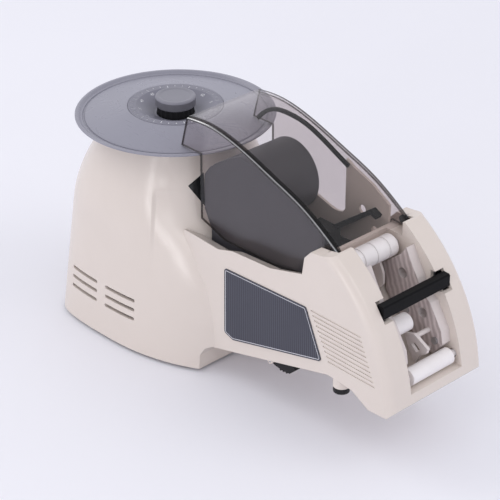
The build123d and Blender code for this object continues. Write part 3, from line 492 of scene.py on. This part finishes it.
def build_smoke(wall=0.0021, fade=0.0008):
    """Film colour runs from pale to deep with the facing value. It goes on to the rim colour on cut rims, on
    the bends, and on a verge of the top that starts two walls in from the side and is full after fade. The
    mirror layer takes 0.03 plus the fifth power of the facing value, near the law for acrylic, and 0.40
    more on a line along the near bend."""
    material, tree, shader = finish_named("smoked acrylic")
    tree.nodes.remove(shader)
    place = add(tree, "TexCoord")
    where = place.outputs["Object"]
    haze = add(tree, "TexNoise", {"Vector": where, "Scale": 22.0, "Detail": 2.0}).outputs["Fac"]
    pale = mix(tree, haze, (0.922, 0.897, 0.888), (0.943, 0.920, 0.912))
    slant = add(tree, "LayerWeight", {"Blend": 0.5}).outputs["Facing"]
    deep = mix(tree, slant, pale, (0.82, 0.80, 0.81))
    normal = add(tree, "SeparateXYZ", {0: place.outputs["Normal"]})
    forward, sideways, upright = normal.outputs["X"], normal.outputs["Y"], normal.outputs["Z"]
    turned = calc(tree, "ABSOLUTE", sideways)
    reach = calc(tree, "ABSOLUTE", add(tree, "SeparateXYZ", {0: where}).outputs["Y"])
    half_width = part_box("cover")[1].y
    sheet_end = product(tree, calc(tree, "GREATER_THAN", reach, half_width - wall),
                        calc(tree, "LESS_THAN", turned, 0.1), calc(tree, "LESS_THAN", upright, 0.3))
    cut = calc(tree, "MAXIMUM", calc(tree, "LESS_THAN", forward, -0.9), sheet_end)
    bend = calc(tree, "MAXIMUM", band(tree, turned, 0.14, 0.60, 0.04), band(tree, sideways, 0.08, 0.92, 0.04))
    verge_start = half_width - 2 * wall
    verge = product(tree, ramp(tree, reach, verge_start, verge_start + fade),
                    calc(tree, "GREATER_THAN", upright, 0.3), 0.93)
    dark = calc(tree, "MAXIMUM", cut, calc(tree, "MAXIMUM", bend, verge), clamp=True)
    film = add(tree, "BsdfTransparent", {"Color": mix(tree, dark, deep, (0.14, 0.125, 0.12))})
    touched = use(tree, handling_group, Amount=0.5)
    rough = calc(tree, "MULTIPLY_ADD", touched.outputs["Mask"], 0.06, 0.025)
    mirror = add(tree, "BsdfAnisotropic", {"Color": (0.95, 0.95, 0.97, 1), "Roughness": rough})
    line = product(tree, band(tree, turned, 0.70, 0.86), calc(tree, "LESS_THAN", sideways, 0.3), 0.40)
    base = calc(tree, "ADD", calc(tree, "POWER", slant, 5.0), 0.03)
    share = calc(tree, "ADD", base, line, clamp=True)
    mixed = add(tree, "MixShader", {0: share, 1: film.outputs[0], 2: mirror.outputs[0]})
    tree.links.new(mixed.outputs[0], tree.nodes["Material Output"].inputs["Surface"])
    return material


dress("cover", build_smoke())
print("the cover is a tinted film with a mirror layer")

# %% [markdown]
# ## Turntable, dial and knob
# The turntable is a grey moulding. Its top has very fine rings from the tool, which pull the highlight
# into a fan. The rings are a function of the distance from the spindle, so the material works that
# distance out from the Object coordinates.

# %% Ringed grey plastic
def axis_distance(tree):
    """The distance of a point from the spindle's axis."""
    where = add(tree, "TexCoord").outputs["Object"]
    centred = add(tree, "Mapping", {"Vector": where, "Location": (-spindle_x, 0, 0), "Scale": (1, 1, 0)})
    return add(tree, "VectorMath", {0: centred.outputs[0]}, operation="LENGTH").outputs["Value"]


def ringed(name, pale, deep, roughness, pitch, depth):
    """Bump height is 0.35 times the sine of the distance from the axis over pitch, times two pi, plus the
    grain."""
    material, tree, shader = finish_named(name)
    ring = calc(tree, "SINE", calc(tree, "MULTIPLY", axis_distance(tree), 2 * math.pi / pitch))
    skin = use(tree, grain_group, Grain_size=0.00035)
    edges = use(tree, edge_group, Wear=0.35)
    touched = use(tree, handling_group, Amount=0.15)
    height = calc(tree, "MULTIPLY_ADD", ring, 0.35, skin.outputs["Height"])
    body = mix(tree, skin.outputs["Tone"], deep, pale)
    rough = calc(tree, "MULTIPLY_ADD", touched.outputs["Mask"], -0.08, roughness)
    link_skin(tree, shader, edges, body, (0.46, 0.45, 0.52), rough, height, depth, 0.00003)
    return material


dress("turntable", ringed("grey disc", (0.295, 0.293, 0.350), (0.268, 0.266, 0.320), 0.28, 0.0009, 0.05))
print("turntable dressed about x", spindle_x)

# %% [markdown]
# The knob's top is painted paler than its grip, as painted shade on the grip, and the dial carries white
# paint in its engraved marks.
# Both follow height: a mask that is one above, or below, a chosen level picks the place.

# %% Knob and dial
def above(tree, level, soft=0.00005):
    """A mask that is one where the Object height is over level, and nought below it."""
    return ramp(tree, object_axes(tree)[2], level - soft, level + soft)


knob_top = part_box("clamp_knob")[1].z
knob_grey_painted_shade = ringed("knob grey", (0.140, 0.138, 0.158), (0.122, 0.120, 0.140), 0.36, 0.0007, 0.1)
# Painted shade: the grip of the knob keeps the darker grey, and only the top gets the paler one.
paint_over(knob_grey_painted_shade, above(knob_grey_painted_shade.node_tree, knob_top - 0.0016), (0.225, 0.222, 0.262))
dress("clamp_knob", knob_grey_painted_shade)

dial_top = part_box("dial_ring")[1].z
mark_start, mark_end, mark_depth = 0.0292, 0.03345, 0.0002
dial_grey = ringed("dial grey", (0.215, 0.212, 0.262), (0.188, 0.186, 0.232), 0.36, 0.0006, 0.12)
dial_tree = dial_grey.node_tree
marks = band(dial_tree, axis_distance(dial_tree), mark_start, mark_end, 0.00005)
sunk = calc(dial_tree, "SUBTRACT", 1.0, above(dial_tree, dial_top - mark_depth))
paint_over(dial_grey, product(dial_tree, marks, sunk), (0.86, 0.86, 0.90))
dress("dial_ring", dial_grey)
print("knob top at", round(knob_top, 4), "dial top at", round(dial_top, 4))

# %% [markdown]
# ## Printed figures
# Round the funnel of the dial stand the plain numbers of a scale. Each figure starts as a flat text curve,
# is made a mesh, and is carried onto the cone by one formula: the height of a letter becomes distance from
# the axis and rise along the slope, and its width becomes an arc round the axis.

# %% Numbers on the funnel
def piece(name, points, faces, material=None):
    """A mesh object of its own with its origin at the world's, linked to the scene."""
    mesh = bpy.data.meshes.new(name)
    mesh.from_pydata(np.asarray(points).tolist(), [], faces)
    made = bpy.data.objects.new(name, mesh)
    bpy.context.scene.collection.objects.link(made)
    if material:
        mesh.materials.append(material)
    return made


def flat_figure(words, size):
    """The flat outline of a few letters as vertices and faces, centred on nought."""
    curve = bpy.data.curves.new("figure", "FONT")
    curve.body, curve.size, curve.align_x, curve.align_y = words, size, "CENTER", "CENTER"
    holder = bpy.data.objects.new("figure", curve)
    bpy.context.scene.collection.objects.link(holder)
    mesh = bpy.data.meshes.new_from_object(holder.evaluated_get(bpy.context.evaluated_depsgraph_get()))
    points = np.zeros(len(mesh.vertices) * 3)
    mesh.vertices.foreach_get("co", points)
    faces = [list(face.vertices) for face in mesh.polygons]
    bpy.data.objects.remove(holder)
    return points.reshape(-1, 3), faces


def on_cone(points, bearing, radius, height, slope):
    """Letter height y runs outward along the slope, and letter width x runs clockwise round the axis."""
    out = radius + points[:, 1] * math.cos(slope)
    turn = bearing - points[:, 0] / radius
    rise = height + points[:, 1] * math.sin(slope)
    return np.stack([spindle_x + out * np.cos(turn), out * np.sin(turn), rise], axis=1)


def scale_figures(material, radius=0.0262, lift=0.00006, size=0.0034, steps=12):
    """Numbers 5 to 60, one every 30 degrees, standing on the funnel between its inner and outer rim."""
    inner_radius, inner_height, outer_radius = 0.0156, dial_top - 0.0063, 0.0289
    slope = math.atan2(dial_top - inner_height, outer_radius - inner_radius)
    height = inner_height + (radius - inner_radius) * math.tan(slope) + lift
    points, faces, count = [], [], 0
    for step in range(1, steps + 1):
        shape, polygons = flat_figure(str(5 * step), size)
        points.append(on_cone(shape, math.radians(90 - 360 / steps * step), radius, height, slope))
        faces += [[index + count for index in polygon] for polygon in polygons]
        count += len(shape)
    return piece("dial_figures", np.concatenate(points), faces, material)


white_ink = cloudy("white ink", 900.0, 2.0, (0.74, 0.74, 0.78), (0.84, 0.84, 0.88), Roughness=0.5,
                   Specular_IOR_Level=0.3)
figures = scale_figures(white_ink)
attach(figures, "turntable")
print("dial figures have", len(figures.data.polygons), "faces")

# %% [markdown]
# ## Nameplate
# A dark blue printed foil with fine upright pinstripes sits on the near side. It carries no words here.

# %% Pinstriped foil
def build_foil(pitch):
    """Stripes are where the fraction of the Object x over the pitch is small."""
    material, tree, shader = finish_named("pinstripe foil", Specular_IOR_Level=0.4)
    share = calc(tree, "FRACT", calc(tree, "DIVIDE", object_axes(tree)[0], pitch))
    stripe = ramp(tree, share, 0.22, 0.34, 1.0, 0.0)
    skin = use(tree, grain_group, Grain_size=0.0003)
    touched = use(tree, handling_group, Amount=0.5)
    edges = use(tree, edge_group, Wear=0.6)
    base = mix(tree, skin.outputs["Tone"], (0.036, 0.037, 0.054), (0.044, 0.045, 0.064))
    lined = mix(tree, stripe, base, (0.080, 0.083, 0.110))
    rough = calc(tree, "MULTIPLY_ADD", touched.outputs["Mask"], -0.1, 0.42)
    link_skin(tree, shader, edges, lined, (0.30, 0.30, 0.33), rough, skin.outputs["Height"], 0.1, 0.00003)
    return material


stripe_pitch = 0.0019
dress("nameplate", build_foil(stripe_pitch))
print("nameplate striped every", round(1000 * stripe_pitch, 1), "mm")

# %% [markdown]
# The plate's thin light border is a ribbon, found by shrinking the outline of the plate towards its middle.

# %% Border of the nameplate
def outline_of(name):
    """Corner points of a plate's outer face, in order of their bearing from its middle."""
    mesh = node[name].data
    points = np.zeros(len(mesh.vertices) * 3)
    mesh.vertices.foreach_get("co", points)
    points = points.reshape(-1, 3)
    face = np.unique(points[points[:, 1] < points[:, 1].min() + 1e-5].round(6), axis=0)
    middle = face.mean(axis=0)
    return face[np.argsort(np.arctan2(face[:, 2] - middle[2], face[:, 0] - middle[0]))]


def border(name, inset, width, lift, material):
    """A flat ribbon between two copies of the outline. Each is moved inward along the mean of the normals
    of the edges that meet at a corner."""
    loop = outline_of(name)
    edge = np.roll(loop, -1, axis=0) - loop
    normal = np.stack([-edge[:, 2], 0 * edge[:, 0], edge[:, 0]], axis=1)
    normal /= np.linalg.norm(normal, axis=1, keepdims=True)
    inward = normal + np.roll(normal, 1, axis=0)
    inward /= (1 + (normal * np.roll(normal, 1, axis=0)).sum(axis=1, keepdims=True))
    rings = [loop + inward * reach - np.array([0, lift, 0]) for reach in (inset, inset + width)]
    count = len(loop)
    i = np.arange(count)
    quads = np.stack([i, i + count, (i + 1) % count + count, (i + 1) % count], axis=1)
    return piece(name + "_border", np.concatenate(rings), quads.tolist(), material)


trim = border("nameplate", 0.0011, 0.0004, 0.00005, white_ink)
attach(trim, "chassis")
print("border has", len(trim.data.polygons), "faces")

# %% [markdown]
# ## Dark corner behind the cover
# A black patch stands for the shaded opening of the tape chamber, whose pointed corner peeps out behind the
# cover's rear edge: it is painted shade.
# It is a flat grid of triangles that a Shrinkwrap modifier lays on the bell, a hair above its skin.

# %% Pointed corner of painted shade
def corner_patch(name, tip, top, foot, material, steps=12):
    """Points are tip + u (top - tip) + v (foot - tip) on a grid with u + v up to one."""
    tip, top, foot = (np.array(point) for point in (tip, top, foot))
    i, j = np.meshgrid(np.arange(steps + 1), np.arange(steps + 1), indexing="ij")
    keep = i + j <= steps
    number = np.where(keep, np.cumsum(keep.ravel()).reshape(keep.shape) - 1, -1)
    u, v = i[keep] / steps, j[keep] / steps
    points = tip + u[:, None] * (top - tip) + v[:, None] * (foot - tip)
    a, b, c, d = number[:-1, :-1], number[1:, :-1], number[:-1, 1:], number[1:, 1:]
    lower = np.stack([a, c, b], -1)[keep[:-1, :-1] & keep[1:, :-1] & keep[:-1, 1:]]
    upper = np.stack([b, c, d], -1)[keep[1:, 1:]]
    return piece(name, points, np.concatenate([lower, upper]).tolist(), material)


# Painted shade: a black sheet laid where the opening behind the cover is dark.
shade_patch = corner_patch("painted_shade_corner", (-0.0439, -0.0336, 0.1334), (-0.0402, -0.0215, 0.1415),
                      (-0.0345, -0.0262, 0.1180), rocker_black)
wrap = shade_patch.modifiers.new("on the bell", "SHRINKWRAP")
wrap.target, wrap.offset, wrap.wrap_mode = node["main_housing"], 0.00015, "ABOVE_SURFACE"
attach(shade_patch, "chassis")
print("lining corner has", len(shade_patch.data.polygons), "faces")

# %% [markdown]
# ## Circuit board
# Behind the vents lies a board under green solder resist, with copper tracks that shimmer through it.
# The tracks are cells of a noise that is squared off, so they run straight and turn in steps.

# %% Green board
def build_board():
    """Tracks are where the distance to the nearest cell point, measured in steps, is large."""
    material, tree, shader = finish_named("solder resist", Roughness=0.3)
    where = add(tree, "TexCoord").outputs["Object"]
    cells = add(tree, "TexVoronoi", {"Vector": where, "Scale": 260.0}, distance="MANHATTAN")
    track = ramp(tree, cells.outputs["Distance"], 0.30, 0.36)
    green = mix(tree, track, (0.018, 0.115, 0.045), (0.030, 0.180, 0.070))
    tree.links.new(green, shader.inputs["Base Color"])
    raised = add(tree, "Bump", {"Height": track, "Strength": 0.3, "Distance": 0.00005})
    tree.links.new(raised.outputs[0], shader.inputs["Normal"])
    return material


dress("circuit_board", build_board())
print("board dressed")

# %% [markdown]
# ## Floor and light
# The machine stands on a seamless pale sweep. A large disc that curves up far away does the same: its
# height is nought near the machine and grows with the square of the distance beyond two and a half metres.

# %% Pale sweep
def sweep(material, radius=9.0, flat=2.5, rise=0.05, rings=48, spokes=96, drop=0.0001):
    """Height is rise times the squared distance past the flat part, less drop, on a polar grid."""
    r = np.linspace(0.0, 1.0, rings)[:, None] ** 1.6 * radius
    a = np.linspace(0.0, 2 * np.pi, spokes, endpoint=False)[None, :]
    z = rise * np.clip(r - flat, 0, None) ** 2 - drop
    points = np.stack([r * np.cos(a), r * np.sin(a), z + 0 * a], axis=-1).reshape(-1, 3)
    i, j = np.meshgrid(np.arange(rings - 1), np.arange(spokes), indexing="ij")
    k = (j + 1) % spokes
    quads = np.stack([i * spokes + j, (i + 1) * spokes + j, (i + 1) * spokes + k, i * spokes + k], -1)
    made = piece("sweep", points, quads.reshape(-1, 4).tolist(), material)
    made.data.polygons.foreach_set("use_smooth", np.ones(len(made.data.polygons), bool))
    return made


paper = cloudy("paper sweep", 3.0, 3.0, (0.845, 0.845, 0.90), (0.875, 0.875, 0.93), Roughness=0.9,
               Specular_IOR_Level=0.1)
floor = sweep(paper)
print("sweep has", len(floor.data.polygons), "faces")

# %% [markdown]
# The studio is bright all round. The world lights every surface evenly, and it looks a little brighter
# than it shines. In reflections it is brightest at the horizon and darker overhead, where a studio has its
# ceiling. Two big soft lamps shape the form: one high on the left for the bell, and one high beyond the
# nose for its front and for the far side. A narrow strip low in front draws the long highlight down the
# bell, and a small patch beside it lights the foot of the nose.

# %% World and lamps
def lamp(name, spot, aim, width, height, power, colour):
    """A rectangular soft lamp at spot that faces aim. Power is in watts."""
    light = bpy.data.lights.new(name, "AREA")
    light.shape, light.size, light.size_y = "RECTANGLE", width, height
    light.energy, light.color = power, colour
    made = bpy.data.objects.new(name, light)
    made.location = spot
    made.rotation_euler = (Vector(aim) - Vector(spot)).to_track_quat("-Z", "Y").to_euler()
    bpy.context.scene.collection.objects.link(made)


def light_world():
    """Strength is 0.99 for rays that see the world and 0.88 for those that only light a surface. Glossy
    rays have it times 1.15 near the horizon and 0.62 overhead."""
    world = bpy.data.worlds.new("studio")
    bpy.context.scene.world = world
    world.use_nodes = True
    sky = world.node_tree
    ray = add(sky, "LightPath")
    seen = calc(sky, "MAXIMUM", ray.outputs["Is Camera Ray"], ray.outputs["Is Glossy Ray"])
    shown = calc(sky, "MAXIMUM", seen, ray.outputs["Is Transmission Ray"])
    plain = ramp(sky, shown, 0.0, 1.0, 0.88, 0.99)
    up = add(sky, "SeparateXYZ", {0: add(sky, "TexCoord").outputs["Generated"]}).outputs["Z"]
    overhead = ramp(sky, up, 0.15, 0.85, 1.15, 0.62)
    gloss = add(sky, "Mix", {0: ray.outputs["Is Glossy Ray"], 2: 1.0, 3: overhead}, data_type="FLOAT")
    background = sky.nodes["Background"]
    background.inputs["Color"].default_value = (0.96, 0.96, 1.0, 1)
    sky.links.new(calc(sky, "MULTIPLY", plain, gloss.outputs[0]), background.inputs["Strength"])


bpy.context.scene.view_settings.view_transform = "Standard"
light_world()
lamp("left softbox", (-1.5, -0.7, 1.6), (-0.05, 0, 0.1), 0.9, 1.3, 6.5, (1.0, 0.99, 0.97))
lamp("right softbox", (1.3, 0.6, 1.6), (0.05, 0, 0.08), 1.0, 1.0, 4.5, (0.99, 0.99, 1.0))
lamp("front strip", (0.30, -1.55, 0.42), (-0.06, -0.04, 0.11), 0.16, 0.8, 2.9, (1.0, 0.99, 0.98))
lamp("front patch", (0.67, -1.37, 0.64), (-0.04, -0.05, 0.10), 0.16, 0.3, 0.6, (1.0, 0.99, 0.98))
print("four lamps and a world")
